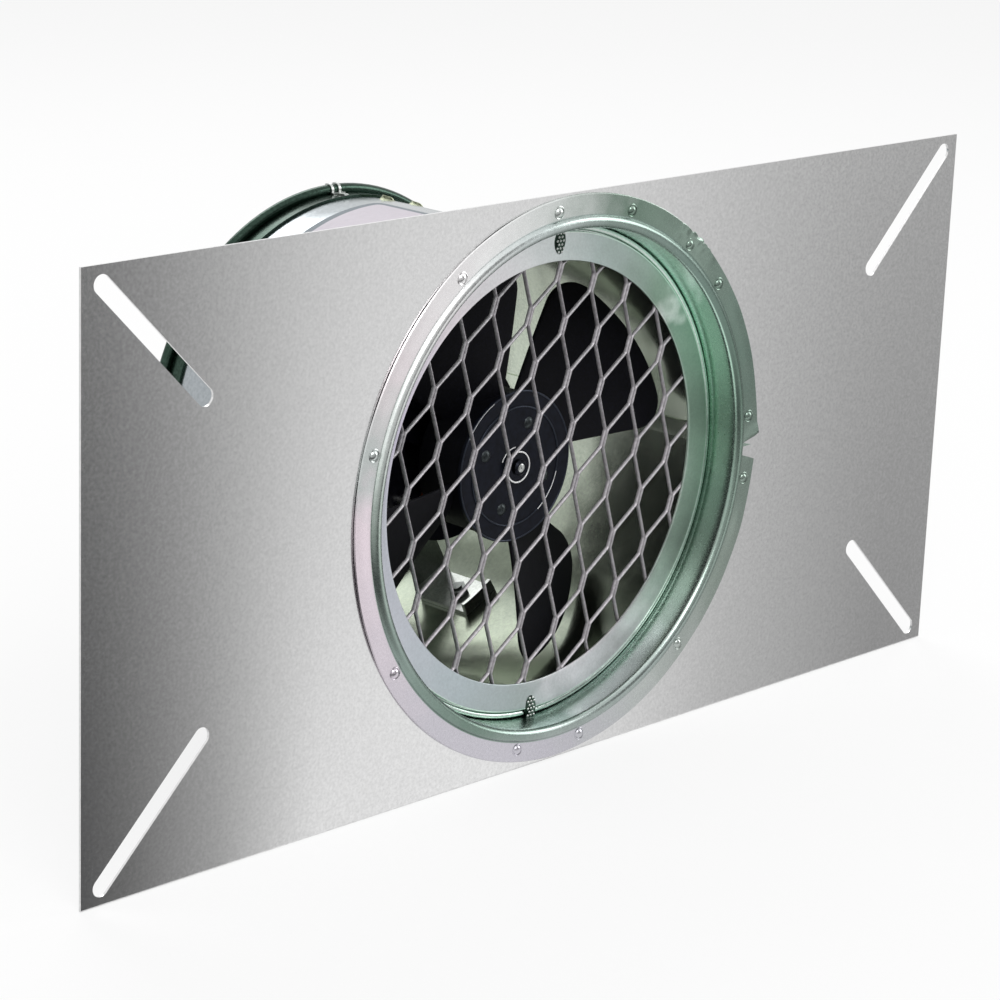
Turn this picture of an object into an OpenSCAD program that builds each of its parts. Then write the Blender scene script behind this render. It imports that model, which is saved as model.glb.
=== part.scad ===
// Crawl space vent fan: an axial fan in a round sheet-metal drum behind a flat wall plate.
// The front faces -Y and the fan turns about the Y axis. The origin is on that axis, in the
// plane of the wall plate's back face. A depth is a distance along +Y from that plane.
// An angle on the face is counted from +X towards +Z, as someone in front sees it.

/* [Wall plate] */
// Width of the wall plate
plate_w = 463; // [340:1:640]
// Height of the wall plate
plate_h = 222; // [221:1:420]
// Thickness of the wall plate
plate_t = 1; // [0.8:0.1:2]
// Width of a mounting slot
slot_w = 7; // [4.5:0.5:9]
// Length of a mounting slot between the centres of its round ends
slot_len = 62; // [20:1:66]
// Angle of a mounting slot from the plate's long edge
slot_angle = 45; // [30:1:60]
// Distance of a slot's outer end centre from the plate's side edge
slot_side = 8.6; // [7:0.2:30]
// Distance of a slot's outer end centre from the plate's top or bottom edge
slot_top = 6.7; // [5.9:0.2:20]

/* [Collar] */
// Sheet thickness of the collar
collar_t = 0.9; // [0.6:0.1:1.5]
// Outer radius of the half-round bead in front of the plate
bead_r = 2.6; // [2:0.1:4]
// Flat width of the flange outside the bead
flange_w = 7.9; // [6.5:0.1:8.5]
// Depth of the shoulder that carries the drum
shoulder_y = 13.2; // [9:0.1:30]
// Length of the sleeve behind the shoulder
sleeve_len = 14; // [8:1:20]
// Angle of the slit in the flange
slit_angle = -2.3; // [-4:0.1:3]
// Width of the slit at the flange's outer edge
slit_w = 8.8; // [3:0.2:9]
// Width of the slit at the bead
slit_root = 1.4; // [0.8:0.1:2.4]
// Distance of the rivet circle outside the bead
rivet_inset = 2.9; // [2.4:0.1:3.6]
// Radius of a rivet's shank
rivet_r = 1.2; // [0.8:0.1:1.4]
// Radius of a rivet's head
rivet_head_r = 2; // [1.8:0.1:2.3]
// Height of a rivet's head
rivet_head_h = 1.1; // [0.6:0.1:1.6]

/* [Housing drum] */
// Outer diameter of the drum
drum_d = 177.8; // [160:0.1:178.4]
// Sheet thickness of the drum
drum_t = 0.8; // [0.6:0.1:1.2]
// Depth of the drum's rear edge
drum_end = 133; // [131:1:220]
// Width of the drum's front flange
lip_w = 7.6; // [6.5:0.1:8]
// Radius of the roll on the front flange's edge
lip_roll = 1.2; // [0.9:0.1:1.5]
// Width of the lock seam along the drum
seam_w = 7; // [5:0.5:8]
// Height of the lock seam inside the drum
seam_h = 0.8; // [0.5:0.1:1.2]
// Angle of the lock seam
seam_angle = 1.5; // [1:0.5:6]
// Diameter of the two pierced holes in the drum's top
pierced_d = 4; // [2:0.5:6]
// Angle of the first pierced hole
pierced_angle = 80; // [76:1:84]
// Distance of the first pierced hole in front of the drum's rear edge
pierced_back = 16; // [14:1:30]

/* [Guards] */
// Width of the flat ring round the front guard
guard_ring_w = 11.1; // [9:0.1:20]
// Sheet thickness of the front ring
guard_ring_t = 0.9; // [0.6:0.1:1.2]
// Thickness of the expanded metal
mesh_t = 1.3; // [0.8:0.1:2]
// Width of a strand of the expanded metal
strand_w = 1.6; // [1:0.1:2.4]
// Long way of a diamond, from bond to bond
diamond_long = 37.7; // [28:0.1:50]
// Short way of a diamond, from bond to bond
diamond_short = 19.8; // [15:0.1:26]
// Length of a bond where two strands join
bond_len = 7; // [4:0.5:10]
// Lean of the diamonds' long way from the vertical
mesh_lean = 18.3; // [0:0.1:45]
// Length of the rear rim over the drum
rim_len = 9; // [6:0.5:14]
// Sheet thickness of the rear rim
rim_t = 0.9; // [0.6:0.1:1.2]
// Radius of the roll round the rear rim
rim_roll = 2.2; // [1.5:0.1:3]
// Width of the rear rim's lip over the rear guard
rim_lip = 7; // [5:0.5:14]

/* [Fan] */
// Number of blades
blade_count = 4; // [3:1:5]
// Angle of the first blade
blade_angle = 28; // [0:1:90]
// Gap between a blade's tip and the drum
tip_gap = 4; // [2:0.5:12]
// Half of the angle that a blade spans
blade_spread = 27.5; // [18:0.5:30]
// Pitch of a blade at the hub
pitch_root = 34; // [20:1:38]
// Pitch of a blade at the tip
pitch_tip = 23; // [14:1:28]
// Height of a blade's hollow across its chord
blade_camber = 3; // [0:0.2:5]
// Thickness of a blade
blade_t = 1.7; // [1.2:0.1:2.4]
// Radius of a blade's outer corners
blade_corner = 15; // [4:0.5:18]
// Depth of the hub's front face
hub_front = 26; // [24:0.5:27]
// Diameter of the moulded hub
hub_d = 57; // [50:1:62]
// Length of the moulded hub
hub_len = 23; // [22:0.5:24]
// Wall of the moulded hub
hub_wall = 2.2; // [1.6:0.1:3]
// Overhang of the steel hub plate beyond the moulded hub
hub_plate_over = 1.5; // [0:0.1:3]
// Thickness of the hub plate
hub_plate_t = 1.2; // [0.8:0.1:2]
// Radius of the circle of hub rivets
hub_rivet_circle = 17.5; // [14:0.5:20]
// Radius of the steel bushing in the hub
bushing_r = 6; // [5:0.1:6.5]
// Wall of the moulded boss round the bushing
boss_wall = 2.2; // [1.6:0.1:3]

/* [Motor] */
// Diameter of the motor's shell
motor_d = 72; // [68:0.5:80]
// Length of the motor between the outer faces of its bells
motor_len = 46; // [45.5:0.5:48]
// Diameter of the motor's shaft
shaft_d = 6.35; // [5:0.05:7]
// Wall of the shell and of the bells
shell_t = 1.4; // [1:0.1:2]
// Depth of a bell's skirt over the shell
bell_skirt = 9; // [5:0.5:12]
// Length of the stator and of the rotor
stack_len = 24; // [22:0.5:25]
// Diameter of the rotor
rotor_d = 38; // [36:0.5:39]
// Gap between the rotor and the stator
air_gap = 0.4; // [0.3:0.05:0.7]
// Number of stator slots
slot_count = 12; // [8:4:16]
// Outer radius of a bearing
bearing_r = 7; // [6:0.1:7.4]
// Running clearance of the shaft in its bearings
shaft_gap = 0.04; // [0.02:0.01:0.08]
// Radius of the through bolts
bolt_r = 1.75; // [1.5:0.05:2]
// Metal between a through bolt's hole and the stator's edge
bolt_edge = 1.25; // [0.95:0.05:1.6]

/* [Motor bracket] */
// Sheet thickness of the bracket
bracket_t = 1.5; // [1:0.1:2.5]
// Number of legs
leg_count = 3; // [3:1:4]
// Angle of the first leg
leg_angle = 58; // [54:1:60]
// Width of a leg at the motor
leg_w = 14; // [10:0.5:18]
// Width of a foot along the drum's wall
foot_w = 18; // [14:0.5:20]
// Length of a foot along the drum
foot_len = 27; // [20:0.5:30]
// Height of the lip at a foot's front end
foot_lip = 4; // [2:0.5:6]
// Radius of the bolts through the feet
foot_bolt_r = 2; // [1.5:0.1:2.5]

/* [Hidden] */
$fn = 96;

// Clearances
fit = 0.1;            // between pieces that nest in each other
edge_gap = 0.4;       // between the drum's rolled lip and the collar
plate_gap = 0.2;      // between the collar's wall and the hole in the wall plate
end_play = 0.3;       // between a thrust collar and its bearing
over = 1;             // how far a cutting solid reaches past the face that it opens

// Drum and collar
drum_r = drum_d / 2;
drum_in = drum_r - drum_t;
lip_r = drum_r + lip_w;
collar_in = lip_r + edge_gap;
collar_out = collar_in + collar_t;
seam_inset = 0.5;
pierced_y = drum_end - pierced_back;
pierced_step = 6;
pierced_step_angle = 7;
bead_mid = collar_in + bead_r;
bead_foot = bead_mid + bead_r;
flange_r = bead_foot + flange_w;
rivet_circle = bead_foot + rivet_inset;
rivet_angles = [96, 74, 53, 39, 5, -9, -49, -83, -102, -147, 165, 125];
rivet_sink = 0.6;
flange_front = -plate_t - collar_t;
plate_hole = collar_out + plate_gap;
drum_front = shoulder_y - drum_t;

// Guards
ring_back = drum_front - mesh_t;
ring_front = ring_back - guard_ring_t;
ring_r = lip_r - 2 * lip_roll - edge_gap;
ring_hem = 0.9;
front_mesh_r = ring_r - ring_hem - fit;
rear_mesh_r = drum_r - fit;
rim_back = drum_end + mesh_t + rim_t;
rim_in = drum_r + fit;
rim_out = rim_in + rim_t;

// Fan
tip_r = drum_in - tip_gap;
hub_r = hub_d / 2;
hub_face = hub_front + hub_plate_t;
hub_back = hub_face + hub_len;
blade_mid = hub_face + hub_len / 2;
blade_root = hub_r - hub_wall / 2;
hub_rivet_count = 4;
hub_rivet_angle = 68;
hub_rivet_r = 1.4;
hub_rivet_head_r = 2.4;
hub_rivet_head_h = 1.1;
boss_r = bushing_r + boss_wall;
shaft_out = 2;
bushing_front = hub_front - 1.5;
bushing_tail = 6.5;
bushing_back = hub_back + bushing_tail;
set_screw_r = 2;
set_screw_angle = 100;
set_screw_out = 1.2;
set_screw_socket = 1.5;
clip_t = 0.5;
clip_r = bushing_r - 0.6;
rivet_tail = 0.6;
rivet_tail_len = 0.8;

// Grid that a blade is drawn on, from hub to tip and across its chord
blade_row_count = 12;
blade_step_count = 8;

// Motor
shaft_r = shaft_d / 2;
shell_r = motor_d / 2;
shell_in = shell_r - shell_t;
motor_gap = 1.5;
bell_boss = 3;
boss_depth = 10;
motor_front = bushing_back + motor_gap;
bell_front = motor_front + bell_boss;
bell_back = bell_front + motor_len;
motor_back = bell_back + bell_boss;
motor_mid = (bell_front + bell_back) / 2;
stack_front = motor_mid - stack_len / 2;
stack_back = motor_mid + stack_len / 2;
rotor_r = rotor_d / 2;
stator_in = rotor_r + air_gap;
stator_out = shell_in - fit;
slot_r = 1.9;
slot_circle = stator_in + 1.4 + slot_r;
slot_mouth = 1.2;
coil_len = 5;
coil_in = slot_circle - slot_r - 0.6;
coil_out = slot_circle + slot_r + 1.2;
end_ring_r = rotor_r - 0.6;
end_ring_len = 3.5;
end_ring_in = 10.6;
bearing_len = 9.4;
bearing_inset = 0.4;
bell_boss_wall = 2.5;
boss_to_vent = 4;
boss_to_bracket = 3;
bell_boss_r = bearing_r + bell_boss_wall;
collar_ring_r = 5.5;
bolt_count = 4;
bolt_angle = 35;
bolt_head_r = 3.1;
bolt_head_h = 2.2;
bolt_end = 1.5;
nut_h = 2.8;
nut_r = 1.9 * bolt_r;
bolt_hole = bolt_r + fit;
bolt_circle = stator_out - bolt_edge - bolt_hole;
shaft_chamfer = 0.6;
vent_inset = 6;
vent_count = 6;
vent_angle = 28;

// Bracket
bracket_front = bell_back;
bracket_back = bracket_front + bracket_t;
bracket_hole = bell_boss_r + boss_to_bracket;
bracket_ring = shell_r + 0.5;
foot_out = drum_in - fit;
foot_in = foot_out - bracket_t;
foot_front = bracket_back - foot_len;
foot_mid = bracket_front - foot_len / 2;
foot_nut_h = 3.2;
foot_nut_r = 2 * foot_bolt_r;
foot_nut_seat = sqrt(foot_in * foot_in - foot_nut_r * foot_nut_r) - 0.02;

// Helpers: a profile turned about the fan axis, drawn as radius and depth
module turned() {
    rotate([-90, 0, 0]) rotate_extrude() children();
}

// The same through only some degrees, centred on an angle of the face
module part_turned(angle, degrees) {
    rotate([0, -angle, 0]) rotate([-90, 0, 0]) rotate([0, 0, -degrees / 2])
        rotate_extrude(angle = degrees) children();
}

// A face outline made thick, from the depth of its back towards the front
module slab(back, thick) {
    translate([0, back, 0]) rotate([90, 0, 0]) linear_extrude(thick) children();
}

// A round bar along the axis between two depths
module rod(r, from, to) {
    translate([0, from, 0]) rotate([-90, 0, 0]) cylinder(r = r, h = to - from);
}

// A cone along the axis between two depths
module cone(r_from, r_to, from, to) {
    translate([0, from, 0]) rotate([-90, 0, 0]) cylinder(r1 = r_from, r2 = r_to, h = to - from);
}

// A hollow round bar along the axis between two depths
module tube(r_out, r_in, from, to) {
    turned() translate([r_in, from]) square([r_out - r_in, to - from]);
}

// Puts a piece at a radius and an angle of the face
module at(r, angle) {
    rotate([0, -angle, 0]) translate([r, 0, 0]) children();
}

// Puts copies of a piece round the axis
module ring_of(count, r, first) {
    for (i = [0 : count - 1]) at(r, first + i * 360 / count) children();
}

// A rivet's domed head, on a face at that depth
module rivet_head(r, h, depth) {
    dome_r = (r * r + h * h) / (2 * h);
    intersection() {
        translate([0, depth - h + dome_r, 0]) sphere(r = dome_r);
        rod(r, depth - h, depth);
    }
}

// A round bar that points away from the axis, between two radii
module spoke(r, from, to, depth) {
    translate([from, depth, 0]) rotate([0, 90, 0]) cylinder(r = r, h = to - from);
}

// Wall plate with a round opening, rivet holes and a slanted slot at each corner
module slot_outline() {
    straight_w = slot_w - fit / 2;
    rotate(slot_angle) {
        circle(d = slot_w);
        translate([slot_len, 0]) circle(d = slot_w);
        translate([0, -straight_w / 2]) square([slot_len, straight_w]);
    }
}

module mounting_plate() {
    hole = rivet_r + fit;
    color("lightgray") difference() {
        slab(0, plate_t) difference() {
            square([plate_w, plate_h], center = true);
            circle(r = plate_hole);
            for (sx = [-1, 1], sz = [-1, 1])
                scale([sx, sz])
                    translate([slot_side - plate_w / 2, slot_top - plate_h / 2]) slot_outline();
        }
        for (a = rivet_angles) at(rivet_circle, a) {
            rod(hole, -plate_t - over, -rivet_sink / 2);
            cone(hole, hole + rivet_sink + over, -rivet_sink, over);
        }
    }
}

// Spun collar: flat flange, half-round bead, wall, shoulder and sleeve, with a slit in the flange
module collar_profile() {
    difference() {
        union() {
            translate([bead_mid, -plate_t]) circle(r = bead_r);
            translate([bead_foot - collar_t, flange_front]) square([flange_w + collar_t, collar_t]);
        }
        translate([bead_mid, -plate_t]) circle(r = bead_r - collar_t);
        translate([bead_mid - 2 * bead_r, -plate_t]) square([4 * bead_r, 2 * bead_r]);
    }
    translate([collar_in, -plate_t]) square([collar_t, shoulder_y + collar_t + plate_t]);
    translate([rim_in, shoulder_y]) square([collar_out - rim_in, collar_t]);
    translate([rim_in, shoulder_y]) square([collar_t, sleeve_len]);
}

module collar() {
    color("silver") difference() {
        turned() collar_profile();
        slab(-plate_t / 2, bead_r + plate_t) rotate(slit_angle) polygon([
            [bead_foot + 0.2, -slit_root / 2], [flange_r + over, -slit_w / 2],
            [flange_r + over, slit_w / 2], [bead_foot + 0.2, slit_root / 2]
        ]);
        for (a = rivet_angles)
            at(rivet_circle, a) rod(rivet_r + fit, flange_front - over, -plate_t / 2);
    }
}

// Rivets that hold the collar to the plate, each with a domed head and a tail that fills a
// countersink, so that the plate's back lies flat on the wall
module flange_rivets() {
    color("gainsboro") for (a = rivet_angles) at(rivet_circle, a) {
        rivet_head(rivet_head_r, rivet_head_h, flange_front);
        rod(rivet_r, flange_front, -rivet_sink);
        cone(rivet_r, rivet_r + rivet_sink, -rivet_sink, 0);
    }
}

// Flat ring in front of the guard, with a short hem round the guard's edge
module guard_ring() {
    color("lightsteelblue") turned() {
        translate([ring_r - guard_ring_w, ring_front]) square([guard_ring_w, guard_ring_t]);
        translate([ring_r - ring_hem, ring_front]) square([ring_hem, drum_front - ring_front]);
    }
}

// Expanded metal: strands in a zigzag, joined at bonds, kept where a bond lies inside the edge
module strand(from, to) {
    step = to - from;
    side = [-step[1], step[0]] * strand_w / norm(step) / 2;
    polygon([from + side, from - side, to - side, to + side]);
}

module expanded_metal(r) {
    half_long = diamond_long / 2;
    half_short = diamond_short / 2;
    bond = [0, bond_len / 2];
    rows = ceil(r / half_long) + 1;
    columns = ceil(r / half_short) + 1;
    reach = r - bond_len / 2;
    intersection() {
        circle(r = r);
        rotate(-mesh_lean) union() {
            for (i = [-columns : columns], j = [-rows : rows]) {
                here = [i * half_short, j * half_long];
                if ((i + j) % 2 == 0) {
                    if (norm(here) < reach)
                        translate(here - [strand_w, bond_len / 2]) square([2 * strand_w, bond_len]);
                    for (sx = [-1, 1]) {
                        next = here + [sx * half_short, half_long];
                        off = bond + [sx * strand_w / 2, 0];
                        if (norm(here) < reach || norm(next) < reach) strand(here + off, next - off);
                    }
                }
            }
        }
    }
}

module front_guard() {
    color("darkgray") slab(drum_front, mesh_t) expanded_metal(front_mesh_r);
}

module rear_guard() {
    color("darkgray") slab(drum_end + mesh_t, mesh_t) expanded_metal(rear_mesh_r);
}

// Rolled drum with a front flange, a rolled lip, a lock seam and pierced holes
module drum_profile() {
    translate([drum_in, drum_front]) square([drum_t, drum_end - drum_front]);
    translate([drum_in, drum_front]) square([lip_r - lip_roll - drum_in, drum_t]);
    translate([lip_r - lip_roll, shoulder_y - lip_roll]) circle(r = lip_roll);
}

module housing_drum() {
    color("darkseagreen") difference() {
        union() {
            turned() drum_profile();
            at(drum_in - seam_h, seam_angle) translate([0, shoulder_y + seam_inset, -seam_w / 2])
                cube([seam_h + drum_t / 2, drum_end - shoulder_y - 2 * seam_inset, seam_w]);
        }
        for (i = [0, 1])
            at(0, pierced_angle - i * pierced_step_angle)
                spoke(pierced_d / 2, drum_in - over, drum_r + over, pierced_y - i * pierced_step);
        ring_of(leg_count, 0, leg_angle)
            spoke(foot_bolt_r + fit, drum_in - over, drum_r + over, foot_mid);
    }
}

// Rim over the drum's rear end, rolled outside and turned in over the rear guard
module rear_rim() {
    color("darkolivegreen") difference() {
        turned() {
            translate([rim_in, drum_end - rim_len]) square([rim_t, rim_back - drum_end + rim_len]);
            translate([rim_out - rim_lip - rim_t, drum_end + mesh_t]) square([rim_lip + rim_t, rim_t]);
            translate([rim_out + rim_roll / 2, rim_back - rim_roll]) circle(r = rim_roll);
        }
        rod(drum_r + fit, drum_end - rim_len - over, drum_end + mesh_t);
    }
}

// Bracket: a ring behind the motor with legs whose feet lie along the drum's wall
module motor_bracket() {
    foot_degrees = 2 * asin(foot_w / 2 / foot_out);
    leg_end = foot_in + bracket_t / 2;
    color("gray") difference() {
        union() {
            slab(bracket_back, bracket_t) {
                circle(r = bracket_ring);
                for (i = [0 : leg_count - 1])
                    rotate(leg_angle + i * 360 / leg_count) polygon([
                        [bracket_hole, -leg_w / 2], [leg_end, -foot_w / 2],
                        [leg_end, foot_w / 2], [bracket_hole, leg_w / 2]
                    ]);
            }
            for (i = [0 : leg_count - 1])
                part_turned(leg_angle + i * 360 / leg_count, foot_degrees) {
                    translate([foot_in, foot_front]) square([bracket_t, foot_len]);
                    translate([foot_in - foot_lip, foot_front])
                        square([foot_lip + bracket_t, bracket_t]);
                }
        }
        rod(bracket_hole, bracket_front - over, bracket_back + over);
        ring_of(bolt_count, bolt_circle, bolt_angle)
            rod(bolt_hole, bracket_front - over, bracket_back + over);
        ring_of(leg_count, 0, leg_angle)
            spoke(foot_bolt_r + fit, foot_in - over, foot_out + over, foot_mid);
    }
}

module bracket_bolts() {
    head_r = 2 * foot_bolt_r;
    head_h = 1.2 * foot_bolt_r;
    color("silver") ring_of(leg_count, 0, leg_angle) {
        spoke(foot_bolt_r, foot_nut_seat - foot_nut_h - 1, drum_r + fit, foot_mid);
        spoke(head_r, drum_r + fit, drum_r + fit + head_h, foot_mid);
    }
}

module bracket_nuts() {
    color("silver") ring_of(leg_count, 0, leg_angle) difference() {
        translate([foot_nut_seat - foot_nut_h, foot_mid, 0])
            rotate([0, 90, 0]) cylinder(r = foot_nut_r, h = foot_nut_h, $fn = 6);
        spoke(foot_bolt_r + fit / 2, foot_nut_seat - foot_nut_h - over, foot_nut_seat + over, foot_mid);
    }
}

// Motor shell and its two pressed bells, with cooling slots
module motor_shell() {
    color("dimgray") tube(shell_r, shell_in, bell_front + shell_t, bell_back - shell_t);
}

// A bell drawn with its outer face at depth 0 and its inside towards +Y
module bell() {
    skirt_in = shell_r + fit;
    vent_in = bell_boss_r + boss_to_vent;
    vent_out = bolt_circle - vent_inset;
    difference() {
        turned() {
            translate([bearing_r, 0]) square([skirt_in + shell_t - bearing_r, shell_t]);
            translate([skirt_in, 0]) square([shell_t, bell_skirt]);
            translate([bearing_r, -bell_boss]) square([bell_boss_r - bearing_r, boss_depth]);
        }
        for (i = [0 : vent_count - 1])
            part_turned(i * 360 / vent_count, vent_angle)
                translate([vent_in, -over]) square([vent_out - vent_in, shell_t + 2 * over]);
        ring_of(bolt_count, bolt_circle, bolt_angle) rod(bolt_hole, -over, shell_t + over);
    }
}

module motor_front_bell() {
    color("dimgray") translate([0, bell_front, 0]) bell();
}

module motor_rear_bell() {
    color("dimgray") translate([0, bell_back, 0]) mirror([0, 1, 0]) bell();
}

// Laminated stator with round slots, and the windings that fill them
module stator_core() {
    color("slategray") slab(stack_back, stack_len) difference() {
        circle(r = stator_out);
        circle(r = stator_in);
        for (i = [0 : slot_count - 1]) rotate(i * 360 / slot_count) {
            translate([slot_circle, 0]) circle(r = slot_r);
            translate([stator_in - over, -slot_mouth / 2])
                square([slot_circle - stator_in + over, slot_mouth]);
        }
        for (i = [0 : bolt_count - 1])
            rotate(bolt_angle + i * 360 / bolt_count) translate([bolt_circle, 0]) circle(r = bolt_hole);
    }
}

module stator_coils() {
    color("chocolate") {
        ring_of(slot_count, slot_circle, 0)
            rod(slot_r - fit, stack_front - coil_len / 2, stack_back + coil_len / 2);
        tube(coil_out, coil_in, stack_front - coil_len, stack_front);
        tube(coil_out, coil_in, stack_back, stack_back + coil_len);
    }
}

// Sleeve bearings pressed into the bells
module front_bearing() {
    from = motor_front + bearing_inset;
    color("goldenrod") tube(bearing_r, shaft_r + shaft_gap, from, from + bearing_len);
}

module rear_bearing() {
    to = motor_back - bearing_inset;
    color("goldenrod") tube(bearing_r, shaft_r + shaft_gap, to - bearing_len, to);
}

// Bolts through both bells, the stator and the bracket, and their nuts
module through_bolts() {
    color("silver") ring_of(bolt_count, bolt_circle, bolt_angle) {
        rod(bolt_r, bell_front, bracket_back + nut_h + bolt_end);
        rod(bolt_head_r, bell_front - bolt_head_h, bell_front);
    }
}

module through_bolt_nuts() {
    color("silver") ring_of(bolt_count, bolt_circle, bolt_angle) difference() {
        translate([0, bracket_back, 0]) rotate([-90, 0, 0]) cylinder(r = nut_r, h = nut_h, $fn = 6);
        rod(bolt_r + fit / 2, bracket_back - over, bracket_back + nut_h + over);
    }
}

// Rotor: a solid core with an end ring on each face
module rotor_core() {
    color("slategray") {
        tube(rotor_r, shaft_r, stack_front, stack_back);
        tube(end_ring_r, end_ring_in, stack_front - end_ring_len, stack_front);
        tube(end_ring_r, end_ring_in, stack_back, stack_back + end_ring_len);
    }
}

module motor_shaft() {
    front = bushing_front - shaft_out;
    color("silver") turned() polygon([
        [0, front], [shaft_r - shaft_chamfer, front], [shaft_r, front + shaft_chamfer],
        [shaft_r, motor_back - shaft_chamfer], [shaft_r - shaft_chamfer, motor_back], [0, motor_back]
    ]);
}

module thrust_collars() {
    color("silver") {
        tube(collar_ring_r, shaft_r, motor_front + bearing_inset + bearing_len + end_play, stack_front);
        tube(collar_ring_r, shaft_r, stack_back, motor_back - bearing_inset - bearing_len - end_play);
    }
}

// One blade: a thin cambered sheet, twisted from hub to tip, with rounded outer corners
function row_radius(i) = blade_root + (tip_r - blade_root) * sin(90 * i / blade_row_count);
function corner_loss(r) =
    let (into = max(0, r - tip_r + blade_corner))
    blade_corner - sqrt(max(0, blade_corner * blade_corner - into * into));
function half_chord(r) = r * sin(blade_spread) - corner_loss(r);
function row_pitch(r) =
    pitch_root + (pitch_tip - pitch_root) * (r - blade_root) / (tip_r - blade_root);
function blade_point(i, j, side) =
    let (
        r = row_radius(i),
        u = -cos(180 * j / blade_step_count),
        across = u * half_chord(r),
        turn = asin(across * cos(row_pitch(r)) / r),
        depth = across * sin(row_pitch(r)) - blade_camber * (1 - u * u) + side * blade_t / 2
    )
    [r * cos(turn), depth, r * sin(turn)];

module blade() {
    row = blade_step_count + 1;
    sheet = row * (blade_row_count + 1);
    points = [
        for (side = [-1, 1], i = [0 : blade_row_count], j = [0 : blade_step_count])
            blade_point(i, j, side)
    ];
    faces = [
        for (i = [0 : blade_row_count - 1], j = [0 : blade_step_count - 1])
            let (a = i * row + j, b = a + 1, c = a + row, d = c + 1)
            each [
                [a, b, c], [b, d, c],
                [a + sheet, c + sheet, b + sheet], [b + sheet, c + sheet, d + sheet]
            ],
        for (i = [0 : blade_row_count - 1])
            let (a = i * row, c = a + row, b = a + blade_step_count, d = b + row)
            each [
                [a, c, a + sheet], [c, c + sheet, a + sheet],
                [b, b + sheet, d], [d, b + sheet, d + sheet]
            ],
        for (j = [0 : blade_step_count - 1])
            let (a = j, b = j + 1, c = blade_row_count * row + j, d = c + 1)
            each [
                [a, a + sheet, b], [b, a + sheet, b + sheet],
                [c, d, c + sheet], [d, d + sheet, c + sheet]
            ]
    ];
    translate([0, blade_mid, 0]) polyhedron(points, faces);
}

// Moulded fan: a cup with a boss round the bushing, and the blades round it
module fan_blades() {
    color("#15151c") difference() {
        union() {
            turned() {
                translate([0, hub_face]) square([hub_r, hub_wall]);
                translate([hub_r - hub_wall, hub_face]) square([hub_wall, hub_len]);
                translate([0, hub_face]) square([boss_r, hub_len]);
            }
            ring_of(blade_count, 0, blade_angle) blade();
        }
        rod(bushing_r, hub_face - over, hub_back + over);
        ring_of(hub_rivet_count, hub_rivet_circle, hub_rivet_angle)
            rod(hub_rivet_r + fit, hub_face - over, hub_face + hub_wall + over);
    }
}

module hub_plate() {
    color("#1c1c26") difference() {
        rod(hub_r + hub_plate_over, hub_front, hub_face);
        rod(bushing_r + fit, hub_front - over, hub_face + over);
        ring_of(hub_rivet_count, hub_rivet_circle, hub_rivet_angle)
            rod(hub_rivet_r + fit, hub_front - over, hub_face + over);
    }
}

module hub_rivets() {
    tail = hub_face + hub_wall;
    color("silver") ring_of(hub_rivet_count, hub_rivet_circle, hub_rivet_angle) {
        rivet_head(hub_rivet_head_r, hub_rivet_head_h, hub_front);
        rod(hub_rivet_r, hub_front, tail);
        rod(hub_rivet_r + rivet_tail, tail, tail + rivet_tail_len);
    }
}

// Steel bushing through the hub, with a set screw behind the hub and a clip in front
module hub_bushing() {
    color("silver") difference() {
        tube(bushing_r, shaft_r, bushing_front, bushing_back);
        at(0, set_screw_angle)
            spoke(set_screw_r, shaft_r, bushing_r + over, hub_back + bushing_tail / 2);
    }
}

module set_screw() {
    top = bushing_r + set_screw_out;
    depth = hub_back + bushing_tail / 2;
    color("dimgray") at(0, set_screw_angle) difference() {
        spoke(set_screw_r - fit / 2, shaft_r + fit, top, depth);
        translate([top - set_screw_socket, depth, 0]) rotate([0, 90, 0])
            cylinder(r = set_screw_r / 2, h = set_screw_socket + over, $fn = 6);
    }
}

module shaft_clip() {
    color("gainsboro") tube(clip_r, shaft_r, bushing_front - clip_t, bushing_front);
}

mounting_plate();
collar();
flange_rivets();
guard_ring();
front_guard();
housing_drum();
rear_rim();
rear_guard();
motor_bracket();
bracket_bolts();
bracket_nuts();
motor_shell();
motor_front_bell();
motor_rear_bell();
stator_core();
stator_coils();
front_bearing();
rear_bearing();
through_bolts();
through_bolt_nuts();
rotor_core();
motor_shaft();
thrust_collars();
fan_blades();
hub_plate();
hub_rivets();
hub_bushing();
set_screw();
shaft_clip();
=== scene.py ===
# Crawl space vent fan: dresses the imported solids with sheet-metal detail, finishes and studio light
import math
import bmesh
import bpy
from mathutils import Matrix, Vector, noise


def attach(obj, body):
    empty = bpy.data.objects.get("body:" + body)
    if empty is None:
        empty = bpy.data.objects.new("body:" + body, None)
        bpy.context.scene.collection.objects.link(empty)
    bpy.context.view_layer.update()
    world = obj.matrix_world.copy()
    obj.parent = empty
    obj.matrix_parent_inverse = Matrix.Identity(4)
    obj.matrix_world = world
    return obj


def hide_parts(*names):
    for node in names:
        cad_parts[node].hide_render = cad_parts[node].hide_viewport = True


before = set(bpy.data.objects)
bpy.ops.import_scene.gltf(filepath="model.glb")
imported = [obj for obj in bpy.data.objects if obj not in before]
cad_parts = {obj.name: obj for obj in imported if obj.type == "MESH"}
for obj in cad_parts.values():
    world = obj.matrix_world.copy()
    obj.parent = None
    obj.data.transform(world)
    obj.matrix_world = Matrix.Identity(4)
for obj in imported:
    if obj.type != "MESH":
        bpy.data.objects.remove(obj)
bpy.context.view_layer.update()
scene = bpy.context.scene
mm = 0.001
weldGap = 0.0005  # mm between points that count as one
upright = (math.radians(90), 0, 0)  # turns what lies flat to face the front
print("frame loaded:", len(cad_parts), "nodes")


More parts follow.
